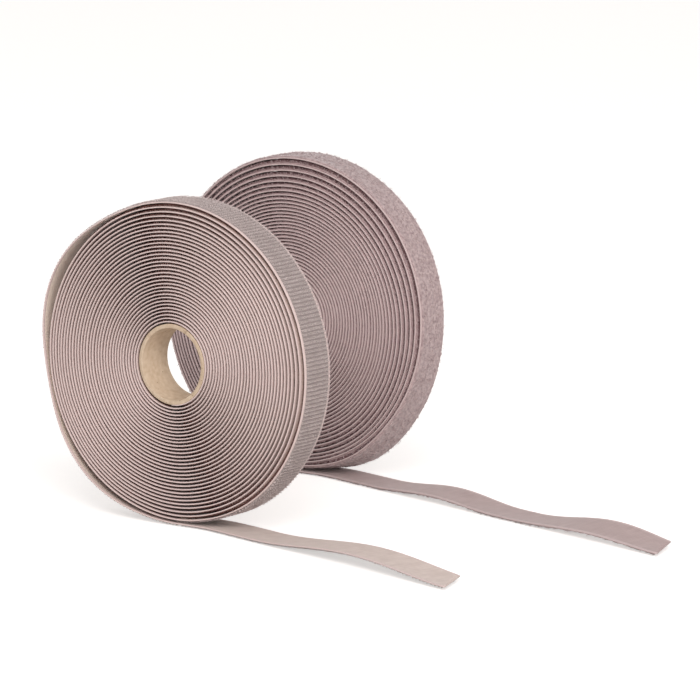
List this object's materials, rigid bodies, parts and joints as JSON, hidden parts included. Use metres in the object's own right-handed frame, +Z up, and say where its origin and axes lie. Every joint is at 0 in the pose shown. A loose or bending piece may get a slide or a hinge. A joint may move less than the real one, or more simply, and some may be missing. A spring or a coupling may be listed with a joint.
{
  "type": "hook and loop tape roll",
  "caption": "Pair of rolls of woven hook and loop fastener tape on cardboard tubes, standing on edge with free ends run out along the floor.",
  "frame": {"origin": "on the floor, under the axis of the hook tape roll's tube", "axes": "+Z up; +Y along the hook roll's axis, from the hook roll towards the loop roll; +X the way the hook tape is drawn off the roll"},
  "size_m": [0.3379, 0.2041, 0.161],
  "materials": {
    "cardboard": "matte",
    "hook_tape": "matte",
    "loop_tape": "matte"
  },
  "bodies": {
    "hook_roll": {"hook_core": "cardboard", "hook_inner_turns": "hook_tape", "hook_outer_turns": "hook_tape", "hook_floor_run": "hook_tape"},
    "hook_tail": {"hook_free_end": "hook_tape"},
    "loop_roll": {"loop_core": "cardboard", "loop_inner_turns": "loop_tape", "loop_outer_turns": "loop_tape", "loop_floor_run": "loop_tape"},
    "loop_tail": {"loop_free_end": "loop_tape"}
  },
  "joints": [
    {"name": "hook_tail_lift", "type": "hinge", "parent": "hook_roll", "child": "hook_tail", "pos_m": [0.06305, -0.01117, 0.00197], "axis": [-0.2504, -0.9681, 0], "range_deg": [0, 60]},
    {"name": "loop_roll_pick_up", "type": "slide", "parent": "hook_roll", "child": "loop_roll", "axis": [0, 0, 1], "range_m": [0, 0.2]},
    {"name": "loop_tail_lift", "type": "hinge", "parent": "loop_roll", "child": "loop_tail", "pos_m": [0.03109, 0.12823, 0.00191], "axis": [-0.2656, -0.9641, 0], "range_deg": [0, 60]}
  ]
}
